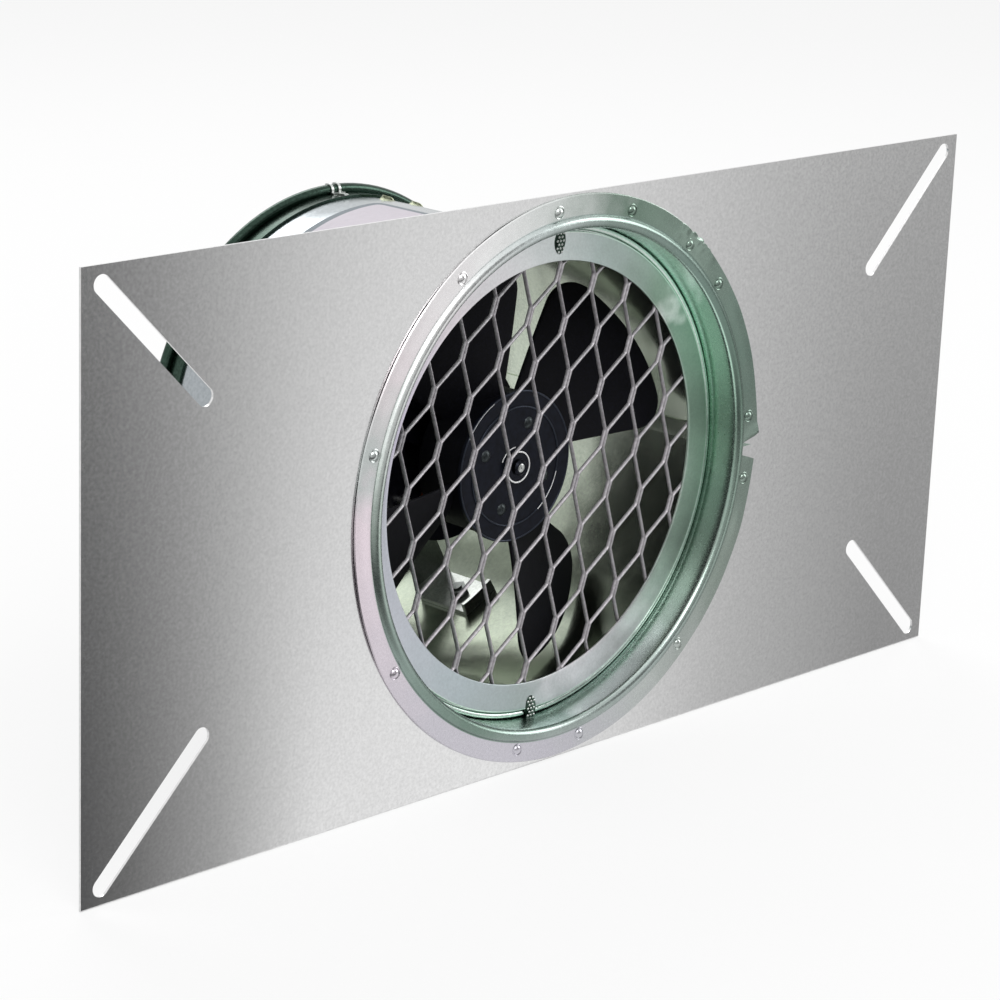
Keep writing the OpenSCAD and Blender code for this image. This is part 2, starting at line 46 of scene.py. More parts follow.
# Small tools
def hexColour(code):
    parts = [int(code[i:i + 2], 16) / 255 for i in (1, 3, 5)]  # sRGB to linear
    return [p / 12.92 if p <= 0.04045 else ((p + 0.055) / 1.055) ** 2.4 for p in parts] + [1.0]


# Links a socket, or a node's first output
def connect(tree, source, target):
    tree.links.new(source.outputs[0] if hasattr(source, "outputs") else source, target)


# Adds a node with its settings, its links and, for a colour ramp, its stops
def addNode(tree, kind, settings=None, links=None, stops=()):
    node = tree.nodes.new(kind)
    for key, value in (settings or {}).items():
        if isinstance(key, str) and hasattr(node, key):
            setattr(node, key, value)
        else:
            node.inputs[key].default_value = value
    for key, source in (links or {}).items():
        connect(tree, source, node.inputs[key])
    if stops:
        band = node.color_ramp.elements
        while len(band) < len(stops):
            band.new(0.5)
        for element, (spot, colour) in zip(band, stops):
            element.position = spot
            element.color = hexColour(colour)
    return node


def newMaterial(name):
    material = bpy.data.materials.new(name)
    material.use_nodes = True
    tree = material.node_tree
    coords = addNode(tree, "ShaderNodeTexCoord")
    return material, tree, tree.nodes["Principled BSDF"], coords.outputs["Object"]


# Noise with its grain in millimetres
def speckle(tree, coords, grain, detail=2, stretch=(1, 1, 1)):
    placed = addNode(tree, "ShaderNodeMapping", {"Scale": stretch}, {"Vector": coords})
    settings = {"Scale": 1 / (grain * mm), "Detail": detail, "Roughness": 0.6}
    return addNode(tree, "ShaderNodeTexNoise", settings, {"Vector": placed})


def newObject(name, data):
    made = bpy.data.objects.new(name, data)
    scene.collection.objects.link(made)
    return made


# Makes a riding piece of a finished mesh
def addPiece(mesh, name, material, body, nodes=(), sharp=38):
    mesh.materials.clear()
    mesh.materials.append(material)
    mesh.polygons.foreach_set("use_smooth", [True] * len(mesh.polygons))
    mesh.set_sharp_from_angle(angle=math.radians(sharp))
    mesh.update()
    piece = newObject(name, mesh)
    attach(piece, body)
    if nodes:
        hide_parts(*nodes)


# A closed mesh from points in millimetres, welded and with its faces outwards
def solidMesh(name, points, faces, edges=()):
    mesh = bpy.data.meshes.new(name)
    mesh.from_pydata([Vector(p) * mm for p in points], edges, faces)
    if faces:
        tool = bmesh.new()
        tool.from_mesh(mesh)
        bmesh.ops.remove_doubles(tool, verts=tool.verts, dist=weldGap * mm)
        bmesh.ops.recalc_face_normals(tool, faces=tool.faces)
        tool.to_mesh(mesh)
        tool.free()
    return mesh


def joinedMesh(name, meshes):
    points, faces = [], []
    for mesh in meshes:
        start = len(points)
        points += [v.co / mm for v in mesh.vertices]
        faces += [tuple(start + i for i in face.vertices) for face in mesh.polygons]
    return solidMesh(name, points, faces)


# Place at a radius and an angle, seen from the front, counted from the right towards the top
def ringSpot(radius, angle, depth):
    return Vector((radius * math.cos(math.radians(angle)), depth, radius * math.sin(math.radians(angle))))


# How far one angle is from another, from -180 to 180
def angleFrom(angle, other):
    return (angle - other + 180) % 360 - 180


def eased(t):
    t = min(1, max(0, t))
    return t * t * (3 - 2 * t)


# Smooth unevenness, the same each run. Its fixed numbers keep one ripple apart from another.
def ripple(*spot):
    return noise.noise(Vector(spot))


# Corners given as (radius, depth, rounding) become a smooth line
def roundedPath(corners, steps=5):
    path = []
    for i, (x, y, rounding) in enumerate(corners):
        here = Vector((x, y))
        if not rounding:
            path.append(here)
            continue
        before = (Vector(corners[i - 1][:2]) - here).normalized()
        after = (Vector(corners[(i + 1) % len(corners)][:2]) - here).normalized()
        half = before.angle(after) / 2
        centre = here + (before + after).normalized() * rounding / math.sin(half)
        a = here + before * rounding / math.tan(half) - centre
        b = here + after * rounding / math.tan(half) - centre
        swing = a.angle(b)
        for k in range(steps + 1):
            t = k / steps
            path.append(centre + (a * math.sin((1 - t) * swing) + b * math.sin(t * swing)) / math.sin(swing))
    return path


# The two faces of a bent sheet on either side of its middle line. The mitre limits a sharp corner.
def sheetSides(path, thick, mitre=0.5):
    left, right = [], []
    for i, here in enumerate(path):
        before = (here - path[max(0, i - 1)]).normalized() if i else (path[1] - here).normalized()
        after = (path[min(len(path) - 1, i + 1)] - here).normalized() if i < len(path) - 1 else before
        along = (before + after).normalized()
        side = Vector((-along.y, along.x)) * thick / 2 / max(mitre, along.dot(before))
        left.append(here + side)
        right.append(here - side)
    return left, right


# Faces between loops of points in a row, and from the last to the first if closed
def bandFaces(count, loops, closed=False):
    faces = []
    for i in range(loops if closed else loops - 1):
        here = i * count
        beyond = (i + 1) % loops * count
        for k in range(count):
            after = (k + 1) % count
            faces.append((here + k, here + after, beyond + after, beyond + k))
    return faces


# A closed outline turned about the fan's axis, all round or along an arc
def turnedMesh(name, loop, turns, bend=None, arc=None):
    count = len(loop)
    rings = turns if arc is None else turns + 1
    first, sweep = (0, 360) if arc is None else (arc[0], arc[1] - arc[0])
    points = []
    for i in range(rings):
        angle = first + sweep * i / turns
        for r, y in loop:
            points.append(ringSpot(*(bend(r, angle, y) if bend else (r, angle, y))))
    faces = bandFaces(count, rings, arc is None)
    if arc is not None:
        faces += [tuple(range(count)), tuple(range(turns * count, (turns + 1) * count))]
    return solidMesh(name, points, faces)


# A node tree whose inputs are given as their kinds: grownMesh sets their values
def newTree(name, inputs):
    tree = bpy.data.node_groups.new(name, "GeometryNodeTree")
    tree.interface.new_socket("Geometry", in_out="OUTPUT", socket_type="NodeSocketGeometry")
    tree.interface.new_socket("Geometry", in_out="INPUT", socket_type="NodeSocketGeometry")
    for label, kind in inputs.items():
        tree.interface.new_socket(label, in_out="INPUT", socket_type="NodeSocket" + kind)
    return tree, tree.nodes.new("NodeGroupInput").outputs


def endTree(tree, geometry, material):
    real = addNode(tree, "GeometryNodeRealizeInstances", links={0: geometry})
    dressed = addNode(tree, "GeometryNodeSetMaterial", {"Material": material}, {"Geometry": real})
    out = tree.nodes.new("NodeGroupOutput")
    connect(tree, dressed, out.inputs[0])


# Runs a tree on a base mesh and keeps the plain mesh that comes out
def grownMesh(name, tree, base, values):
    holder = newObject(name + ".base", base)
    modifier = holder.modifiers.new("grow", "NODES")
    modifier.node_group = tree
    for item in tree.interface.items_tree:
        if item.in_out == "INPUT" and item.name in values:
            modifier[item.identifier] = values[item.name]
    evaluated = holder.evaluated_get(bpy.context.evaluated_depsgraph_get())
    mesh = bpy.data.meshes.new_from_object(evaluated)
    mesh.name = name
    holder.modifiers.remove(modifier)
    bpy.data.objects.remove(holder)
    return mesh


# Camera: the photograph is squeezed sideways, so this view comes nearest to its outline of the plate,
# its ring and the end of the drum that shows above the plate
view = {"yaw": 46, "elevation": 16, "roll": 2.2, "lens": 114.2, "distance": 1.201,
        "aimRight": -0.0243, "aimUp": -0.0073, "clipStart": 0.01}


def setCamera():
    yaw, lift, roll = (math.radians(view[k]) for k in ("yaw", "elevation", "roll"))
    forward = Vector((math.sin(yaw) * math.cos(lift), math.cos(yaw) * math.cos(lift), -math.sin(lift)))
    flat = Vector((math.cos(yaw), -math.sin(yaw), 0))
    rise = flat.cross(forward)
    right = flat * math.cos(roll) + rise * math.sin(roll)
    up = rise * math.cos(roll) - flat * math.sin(roll)
    spot = right * view["aimRight"] + up * view["aimUp"] - forward * view["distance"]
    camera = newObject("camera", bpy.data.cameras.new("camera"))
    camera.data.lens = view["lens"]
    camera.data.clip_start = view["clipStart"]
    camera.matrix_world = Matrix.Translation(spot) @ Matrix((right, up, -forward)).transposed().to_4x4()
    scene.camera = camera


setCamera()


# Studio: pale floor, white background, soft boxes, and two graded cards that only gloss can see: one
# lies before the plate and one stands at its far end. Their shades fan out from one point, so that the
# flat sheet mirrors upright bands: dark at the left, bright in the middle, grey at the right.
studio = {
    "fill": 0.62,
    "floor": {"size": 8.0, "z": -111.2 * mm, "paper": "#F2F2F2", "rough": 0.9, "ownWhite": 0.78},
    "lamps": [
        {"name": "keyBox", "at": (-0.9, -1.3, 1.5), "to": (0, 0, 0), "size": (1.2, 0.9), "power": 16},
        {"name": "sideBox", "at": (1.6, -0.9, 0.7), "to": (0.05, 0, 0), "size": (0.8, 1.0), "power": 9},
        {"name": "backBox", "at": (0.6, 1.2, 1.3), "to": (0, 0.1, 0), "size": (1.2, 0.8), "power": 9},
    ],
    "card": {"left": -1.4, "right": 2.4, "near": -0.0014, "far": -1.7, "top": 1.3, "lift": 0.4 * mm,
             "fan": (-0.848, 0.786), "from": 0.4, "to": 1.6,
             "shades": [(0.40, "#C4C4C4"), (0.62, "#A0A0A0"), (0.70, "#2E2E30"), (0.76, "#424244"),
                        (0.81, "#787878"), (0.86, "#B0B0B0"), (0.92, "#F8F8F8"), (1.04, "#FFFFFF"),
                        (1.12, "#ECECEC"), (1.20, "#C8C8C8"), (1.33, "#A0A0A0"), (1.6, "#B4B4B4")]},
}


# White to the camera and in gloss, and a dimmer fill on the object
def setWorld():
    world = bpy.data.worlds.new("studio")
    scene.world = world
    world.use_nodes = True
    tree = world.node_tree
    tree.nodes.clear()
    rays = addNode(tree, "ShaderNodeLightPath").outputs
    seen = rays["Is Camera Ray"]
    for kind in ("Is Glossy Ray", "Is Transmission Ray"):
        seen = addNode(tree, "ShaderNodeMath", {"operation": "MAXIMUM"}, {0: seen, 1: rays[kind]})
    white = hexColour("#FFFFFF")
    fill, back = (addNode(tree, "ShaderNodeBackground", {"Color": white, "Strength": strength})
                  for strength in (studio["fill"], 1.0))
    mixed = addNode(tree, "ShaderNodeMixShader", links={0: seen, 1: fill, 2: back})
    addNode(tree, "ShaderNodeOutputWorld", links={"Surface": mixed})


def setLamps():
    for lamp in studio["lamps"]:
        light = bpy.data.lights.new(lamp["name"], "AREA")
        light.shape = "RECTANGLE"
        light.size, light.size_y = lamp["size"]
        light.energy = lamp["power"]
        holder = newObject(lamp["name"], light)
        holder.location = lamp["at"]
        aim = Vector(lamp["to"]) - Vector(lamp["at"])
        holder.rotation_euler = aim.to_track_quat("-Z", "Y").to_euler()


def stageQuad(name, corners, material):
    mesh = bpy.data.meshes.new(name)
    mesh.from_pydata(corners, [], [(0, 1, 2, 3)])
    mesh.materials.append(material)
    quad = newObject(name, mesh)
    return quad


# Matt white paper: part of its white is its own, so that the shadow on it stays soft
def setFloor():
    floor = studio["floor"]
    material, tree, shader, _ = newMaterial("floorPaper")
    shader.inputs["Roughness"].default_value = floor["rough"]
    shader.inputs["Base Color"].default_value = hexColour(floor["paper"])
    rays = addNode(tree, "ShaderNodeLightPath").outputs
    glow = addNode(tree, "ShaderNodeEmission", {"Color": hexColour("#FFFFFF"), "Strength": 1.0})
    share = addNode(tree, "ShaderNodeMath", {"operation": "MULTIPLY", 1: floor["ownWhite"]},
                    {0: rays["Is Camera Ray"]})
    mixed = addNode(tree, "ShaderNodeMixShader",
                    links={0: share, 1: shader, 2: glow})
    connect(tree, mixed, tree.nodes["Material Output"].inputs["Surface"])
    half, z = floor["size"] / 2, floor["z"]
    stageQuad("floor", [(-half, -half, z), (half, -half, z), (half, half, z), (-half, half, z)], material)


# Card painted in shades: it lends the flat sheet the bands that it mirrors
def setCards():
    card = studio["card"]
    material, tree, _, coords = newMaterial("gradedCard")
    parts = addNode(tree, "ShaderNodeSeparateXYZ", links={0: coords})
    fanX, fanY = card["fan"]
    across = addNode(tree, "ShaderNodeMath", {"operation": "SUBTRACT", 1: fanX}, {0: parts.outputs["X"]})
    away = addNode(tree, "ShaderNodeMath", {"operation": "SUBTRACT", 0: fanY}, {1: parts.outputs["Y"]})
    slope = addNode(tree, "ShaderNodeMath", {"operation": "DIVIDE"}, {0: across, 1: away})
    place = addNode(tree, "ShaderNodeMapRange", {"From Min": card["from"], "From Max": card["to"]},
                    {"Value": slope})
    wide = card["to"] - card["from"]
    shade = addNode(tree, "ShaderNodeValToRGB", None, {"Fac": place},
                    [((spot - card["from"]) / wide, tone) for spot, tone in card["shades"]])
    glow = addNode(tree, "ShaderNodeEmission", links={"Color": shade})
    connect(tree, glow, tree.nodes["Material Output"].inputs["Surface"])
    left, right, near, far, top = (card[k] for k in ("left", "right", "near", "far", "top"))
    z = studio["floor"]["z"] + card["lift"]
    places = {"lyingCard": [(left, near, z), (right, near, z), (right, far, z), (left, far, z)],
              "standingCard": [(left, far, z), (right, far, z), (right, far, top), (left, far, top)]}
    for name, corners in places.items():
        quad = stageQuad(name, corners, material)
        quad.visible_camera = quad.visible_diffuse = quad.visible_shadow = quad.visible_transmission = False


setWorld()
setLamps()
setFloor()
setCards()
scene.view_settings.view_transform = "Standard"
print("camera and studio set")


# Finishes

# Ramp stops that run from a dark to a light tone over the middle of a noise's range
def tones(dark, light):
    return [(0.3, dark), (0.7, light)]


# Colour, gloss and relief of a skin, all from one grain unless a height is given
def dressSkin(tree, shader, colour, grain, rough, strength, depth, height=None):
    gloss = addNode(tree, "ShaderNodeMapRange", {"To Min": rough[0], "To Max": rough[1]}, {"Value": grain})
    bump = addNode(tree, "ShaderNodeBump", {"Strength": strength, "Distance": depth * mm},
                   {"Height": grain if height is None else height})
    for source, label in ((colour, "Base Color"), (gloss, "Roughness"), (bump, "Normal")):
        connect(tree, source, shader.inputs[label])
    return bump


# In millimetres: the blur between films, which carry painted light and shade, the patches that shift
# their tints and that painted light, the lathe's marks, and the relief of the grain and of a hand-rolled
# sheet. The lathe's real marks are too fine to show, so they are drawn about twice as wide.
zinc = {"zoneBlur": 0.15, "driftGrain": 12, "drift": 0.05, "lathePitch": 0.5, "grainDepth": 0.02,
        "waveStrength": 0.5, "waveDepth": 1.4}


# The zinc's passivation film tints it by the angle round the fan's axis, and most films also paint
# highlights and shade at each angle, lighter where the light falls and darker away from it. Each film
# lies within its limit in radius, and the first one beyond them all.
def filmTintAndPaintedLight(tree, coords, reach, filmsAndPaintedLight):
    parts = addNode(tree, "ShaderNodeSeparateXYZ", links={0: coords})
    angle = addNode(tree, "ShaderNodeMath", {"operation": "ARCTAN2"},
                    {0: parts.outputs["Z"], 1: parts.outputs["X"]})
    place = addNode(tree, "ShaderNodeMapRange", {"From Min": -math.pi, "From Max": math.pi}, {"Value": angle})
    drift = addNode(tree, "ShaderNodeMath",
                    {"operation": "MULTIPLY_ADD", 1: zinc["drift"], 2: -zinc["drift"] / 2},
                    {0: speckle(tree, coords, zinc["driftGrain"])})
    place = addNode(tree, "ShaderNodeMath", {"operation": "ADD"}, {0: place, 1: drift})
    tintAndPaintedLight = None
    for limit, filmAndPaintedLight in filmsAndPaintedLight:
        band = addNode(tree, "ShaderNodeValToRGB", None, {"Fac": place},
                       [((degrees + 180) / 360, tone) for degrees, tone in filmAndPaintedLight])
        if tintAndPaintedLight is None:
            tintAndPaintedLight = band
            continue
        edge = {"From Min": (limit - zinc["zoneBlur"]) * mm, "From Max": (limit + zinc["zoneBlur"]) * mm}
        beyond = addNode(tree, "ShaderNodeMapRange", edge, {"Value": reach})
        tintAndPaintedLight = addNode(tree, "ShaderNodeMix", {"data_type": "RGBA"}, {0: beyond, 6: band, 7: tintAndPaintedLight}).outputs[2]
    return tintAndPaintedLight


# Hot-dip zinc on sheet steel: a fine crystal grain that varies in brightness and in gloss. The real
# grain is too fine to show, so it is drawn at about a millimetre.
def galvanisedSheet(name, light, dark, grain, rough, filmsAndPaintedLight=(), spin=False, wave=0, relief=0.35):
    material, tree, shader, coords = newMaterial(name)
    shader.inputs["Metallic"].default_value = 1.0
    fine = speckle(tree, coords, grain, 3)
    colour = addNode(tree, "ShaderNodeValToRGB", None, {"Fac": fine}, tones(dark, light))
    flat = addNode(tree, "ShaderNodeVectorMath", {"operation": "MULTIPLY", 1: (1, 0, 1)}, {0: coords})
    reach = addNode(tree, "ShaderNodeVectorMath", {"operation": "LENGTH"}, {0: flat}).outputs["Value"]
    if filmsAndPaintedLight:
        # The film tints the grain, and paints highlights and shade on it by angle
        colour = addNode(tree, "ShaderNodeMix", {"data_type": "RGBA", "blend_type": "MULTIPLY", 0: 1.0},
                         {6: colour, 7: filmTintAndPaintedLight(tree, coords, reach, filmsAndPaintedLight)}).outputs[2]
    height = fine
    if spin:  # fine rings left by the spinning lathe
        marks = {"noise_dimensions": "1D", "Scale": 1 / (zinc["lathePitch"] * mm), "Detail": 1}
        rings = addNode(tree, "ShaderNodeTexNoise", marks, {"W": reach})
        height = addNode(tree, "ShaderNodeMath", {"operation": "ADD"}, {0: fine, 1: rings})
    bump = dressSkin(tree, shader, colour, fine, rough, relief, zinc["grainDepth"], height)
    if wave:  # slow waves of a hand-rolled sheet
        broad = speckle(tree, coords, wave, 1)
        swell = {"Strength": zinc["waveStrength"], "Distance": zinc["waveDepth"] * mm}
        wavy = addNode(tree, "ShaderNodeBump", swell, {"Height": broad, "Normal": bump})
        connect(tree, wavy, shader.inputs["Normal"])
    return material


# A skin with one grain to it: enamel, plastic, film, or bare metal with marks drawn out where stretched
def plainSkin(name, stops, rough, grain, detail, strength, depth, metallic=0, gloss=0.5, stretch=(1, 1, 1)):
    material, tree, shader, coords = newMaterial(name)
    shader.inputs["Metallic"].default_value = metallic
    shader.inputs["Specular IOR Level"].default_value = gloss
    skin = speckle(tree, coords, grain, detail, stretch)
    colour = addNode(tree, "ShaderNodeValToRGB", None, {"Fac": skin}, stops)
    dressSkin(tree, shader, colour, skin, rough, strength, depth)
    return material


# Baked enamel or printed film: low gloss with a faint orange peel, about 2 mm from dimple to dimple
def enamel(name, light, dark, rough, gloss):
    return plainSkin(name, tones(dark, light), (rough - 0.06, rough + 0.08), grain=2.2, detail=2,
                     strength=0.25, depth=0.05, gloss=gloss)


# Turned, drawn or plated metal: a glint broken up by marks, really hair-fine, drawn wide enough to show
def brightMetal(name, light, dark, rough, grain=0.6, stretch=(1, 1, 1)):
    return plainSkin(name, tones(dark, light), (rough - 0.07, rough + 0.1), grain, detail=3,
                     strength=0.2, depth=0.02, metallic=1, stretch=stretch)


# The film's tint by angle, with painted light in it: green and shaded darker on the right and below,
# painted highlights near white at the upper left, lilac at the left
flangeFilmAndPaintedLight = [(-180, "#F4E6EE"), (-130, "#CCC9D1"), (-90, "#C6C4CC"), (-60, "#C8CECB"), (-30, "#A2AFA6"),
              (20, "#7C9186"), (50, "#94A79C"), (75, "#7E9486"), (100, "#E8ECEA"), (118, "#FFFFFF"),
              (150, "#F1E9EC"), (168, "#CFD6D4"), (180, "#F4E6EE")]
beadFilmAndPaintedLight = [(-180, "#BCCCC2"), (-150, "#96A7A0"), (-120, "#74897E"), (-90, "#A0ABA7"), (-60, "#B2BEBA"),
            (-15, "#9BB0A4"), (15, "#72887C"), (45, "#788D84"), (80, "#94A49D"), (105, "#D0D9D8"),
            (130, "#FFFFFF"), (160, "#E8EEEB"), (180, "#BCCCC2")]
# Ring: the narrow white stop near 39° is a painted highlight, and the green at the right is tint and painted
# shade
ringFilmAndPaintedLight = [(-180, "#D0D3DC"), (-150, "#C9CDD5"), (-120, "#B6C1C5"), (-95, "#AFB8B8"), (-75, "#EFEDF2"),
            (-60, "#C2BFC3"), (-40, "#8C9490"), (-10, "#C4D6CA"), (34, "#96B0A0"), (39, "#E2E8E4"),
            (44, "#98AF9F"), (75, "#C3D1CE"), (100, "#EAEDEE"), (130, "#FAF2F8"), (160, "#E2DCEE"),
            (180, "#D0D3DC")]
filmOutside = [(-180, "#C0C4C8"), (60, "#B8BEC0"), (110, "#C2C6CA"), (180, "#C0C4C8")]
# Inside the drum: painted light and shade, pale at the right and upper right and darker elsewhere
insideFilmAndPaintedLight = [(-180, "#7A8074"), (-130, "#8C9482"), (-105, "#9CA492"), (-75, "#949B8A"), (-58, "#80867A"),
              (-47, "#8C9484"), (-32, "#C8D0BE"), (0, "#F2FAE8"), (45, "#E2EAD6"), (90, "#A4AC98"),
              (180, "#7A8074")]
# Wall: the pale stops are painted highlights and the dark ones painted shade
wallFilmAndPaintedLight = [(-180, "#8EA296"), (-120, "#94AA9E"), (-105, "#A4B8AC"), (-92, "#6C857A"), (-80, "#C0CDC8"),
            (-62, "#D5E2DD"), (-45, "#AEBCB4"), (-30, "#909D95"), (-12, "#98AEA2"), (2, "#C0DECC"),
            (18, "#C6EAD6"), (45, "#DCFAEC"), (75, "#E0F4EA"), (180, "#8EA296")]
filmEdge = [(-180, "#E4EEE8"), (-60, "#E4F2EA"), (0, "#E0FAEA"), (90, "#F4FAF6"), (180, "#E4EEE8")]
filmStrap = [(-180, "#8A8F8B"), (180, "#8A8F8B")]
filmFoot = [(-180, "#C6CAC6"), (180, "#C6CAC6")]

# Flat sheet as it left the mill: a smooth pale grey that mirrors the room as soft bands
plateZinc = galvanisedSheet("galvanisedPlateSheet", "#E8E8E8", "#D8D8D8", 1.3, (0.19, 0.24), relief=0.25)
# The same sheet spun on a lathe: fine rings and soft glints, tinted green and lilac by its film, with
# painted highlights near white at the upper left and painted shade by angle
collarZinc = galvanisedSheet("spunGalvanisedSheet", "#FFFFFF", "#EEEEEE", 1.0, (0.2, 0.32),
                             [(0, flangeFilmAndPaintedLight), (102.3, beadFilmAndPaintedLight), (97.4, wallFilmAndPaintedLight), (95, filmOutside)],
                             spin=True)
# Stamped ring: duller, with a painted highlight at the upper right and a pale cut edge
ringZinc = galvanisedSheet("ringGalvanisedSheet", "#FFFFFF", "#EEEEEE", 0.9, (0.26, 0.4),
                           [(0, filmEdge), (93.2, ringFilmAndPaintedLight)])
# Rolled sheet: slow waves that bend what it mirrors, olive inside with painted light and shade on it, plain
# grey outside, pale at its flange
drumZinc = galvanisedSheet("rolledGalvanisedSheet", "#E4E6E6", "#CCD0D0", 1.4, (0.19, 0.26),
                           [(0, filmEdge), (91, filmOutside), (88.45, insideFilmAndPaintedLight)], wave=24, relief=0.1)
# Dark green rim: it shows as a dark glossy band round the opening. Under the stake dots the same
# dark zinc is painted shade in the grooves between them
darkRimAndGrooveShade = galvanisedSheet("darkRimSheetAndGrooveShade", "#3F5148", "#293830", 1.0, (0.16, 0.26))
# Torn by the punch: rough, dull and slightly olive
punchedZinc = galvanisedSheet("punchedEdgeSheet", "#A6AB94", "#7C826B", 0.8, (0.3, 0.45))
# Slit and drawn, then dipped: an even dull grey without tints
strandZinc = galvanisedSheet("expandedGalvanisedSteel", "#C0BCC0", "#989498", 1.2, (0.4, 0.55))
# Bent strap steel: greyer along the legs, paler at the feet
bracketZinc = galvanisedSheet("bracketStrapSteel", "#FFFFFF", "#D8DAD8", 1.0, (0.3, 0.42),
                              [(0, filmFoot), (80, filmStrap)])
# Moulded, with glass fibre in it: nearly black, with broad faint highlights on a pebbled skin, whose
# pebbles are drawn twice their real size so that they show
bladePlastic = plainSkin("glassFilledNylon", [(0.35, "#030306"), (0.62, "#0A0A12"), (0.8, "#181824")],
                         (0.5, 0.8), grain=0.9, detail=4, strength=0.6, depth=0.12, gloss=0.14)
# Smooth black shell with a soft shine
blackEnamel = enamel("bakedBlackEnamel", "#14141E", "#09090F", 0.34, 0.3)
# Flat blue-black that hardly shines
hubEnamel = enamel("mattHubEnamel", "#141722", "#0A0C14", 0.5, 0.12)
# New zinc plate: pale silver with small glints
zincPlate = brightMetal("brightZincPlate", "#D4D6D4", "#B4B8B5", 0.28)
# Weathered zinc plate: middle grey, hardly any glint
boltZinc = brightMetal("greyZincPlate", "#8A8E8C", "#6A6E6C", 0.42)
# Bare turned edge round the bushing, and painted glints along arcs of the hub's rings: a thin white line
edgeAndGlintWhite = brightMetal("turnedEdgeAndPaintedGlint", "#FFFFFF", "#F0F0F0", 0.55)
# Enamel rubbed through to steel: a dark line with a blue sheen
burnished = brightMetal("burnishedHubEdge", "#40444E", "#2C3038", 0.3)
# Zinc plate gone dull: dark grey rivet heads
darkZinc = brightMetal("dullZincPlate", "#4A4F50", "#303436", 0.34)
# Ground bar: bright, with fine lines along it
shaftSteel = brightMetal("groundShaftSteel", "#D5D5D8", "#B2B2B6", 0.2, 0.4, (1, 0.1, 1))
# Oil-blackened steel: almost black with a hard glint
blackSteel = brightMetal("blackenedSteel", "#2A2C33", "#16171C", 0.3)
# Stacked sheets: grey with the fine lines of their edges
laminated = brightMetal("electricalSteel", "#6E7074", "#54565A", 0.45, 0.5, (0.1, 1, 0.1))
# Varnished wire: red-brown, with streaks along the winding
copper = brightMetal("enamelledCopperWire", "#B0693A", "#8C4A24", 0.35, 0.8, (1, 0.2, 1))
# Pressed from powder: an open, dull brown-yellow grain
bronze = brightMetal("sinteredBronze", "#B08A55", "#8E6C3E", 0.5)
# Film with nothing printed on it: pale lilac grey, half glossy
labelFilm = enamel("printedLabelFilm", "#C4BDC6", "#BCB5BE", 0.42, 0.4)
# Ink on that film: the same gloss in slate grey
labelInk = enamel("printedLabelBorder", "#646F77", "#5A656D", 0.42, 0.4)

cadFinish = {
    "mounting_plate": plateZinc, "collar": collarZinc, "flange_rivets": collarZinc, "guard_ring": ringZinc,
    "front_guard": strandZinc, "housing_drum": drumZinc, "rear_rim": darkRimAndGrooveShade, "rear_guard": strandZinc,
    "motor_bracket": bracketZinc, "bracket_bolts": boltZinc, "bracket_nuts": boltZinc,
    "motor_shell": blackEnamel, "motor_front_bell": blackEnamel, "motor_rear_bell": blackEnamel,
    "stator_core": laminated, "stator_coils": copper, "front_bearing": bronze, "rear_bearing": bronze,
    "through_bolts": zincPlate, "through_bolt_nuts": zincPlate, "rotor_core": laminated,
    "motor_shaft": blackSteel, "thrust_collars": shaftSteel, "fan_blades": bladePlastic,
    "hub_plate": hubEnamel, "hub_rivets": darkZinc, "hub_bushing": blackSteel, "set_screw": blackSteel,
    "shaft_clip": blackSteel,
}
for nodeName, finish in cadFinish.items():
    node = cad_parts[nodeName]
    node.data.materials.clear()
    node.data.materials.append(finish)
print("finishes made")


# Spun collar: a flange pulled down at its rivets and slit at the right, a half-round bead, a wall, a
# shoulder and a sleeve. Angles are in degrees. The wall, shoulder and sleeve are (radius, depth, rounding).
collar = {
    "thick": 0.9, "turns": 480, "bevel": 0.32, "flangeOut": 109.75, "flangeMid": -1.52,
    "flangeSteps": [1, 0.86, 0.71, 0.57, 0.43, 0.28, 0.14, 0.03, 0],
    "beadMid": 99.5, "beadRise": 2.14, "beadFoot": 102.1, "beadDepth": -1.0, "beadSteps": 12,
    "wallToSleeve": [(97.35, 2, 0), (97.35, 7, 0), (97.35, 13.65, 1.3), (89.45, 13.65, 1.1),
                     (89.45, 20, 0), (89.45, 27.2, 0)],
    "rivetAngles": [96, 74, 53, 39, 5, -9, -49, -83, -102, -147, 165, 125],
    "lift": 0.35, "liftFrom": 2.2, "liftOver": 8, "liftSlope": 1.6, "liftWave": 0.11,
    "slit": -2.3, "slitRoot": 5.0, "slitWide": 9.6, "slitRound": 33, "slitFade": 7,
    "slitBend": 0.9, "slitBendOver": 5, "slitReach": 1.1, "slitFlare": 13,
    "crinkle": 52, "crinkleWide": 8, "crinkleLift": 2.4, "crinkleShift": 1.3,
    "crinkleWave": 1.1, "crinkleAcross": 0.3, "crinkleEdgeWave": 1.6,
}


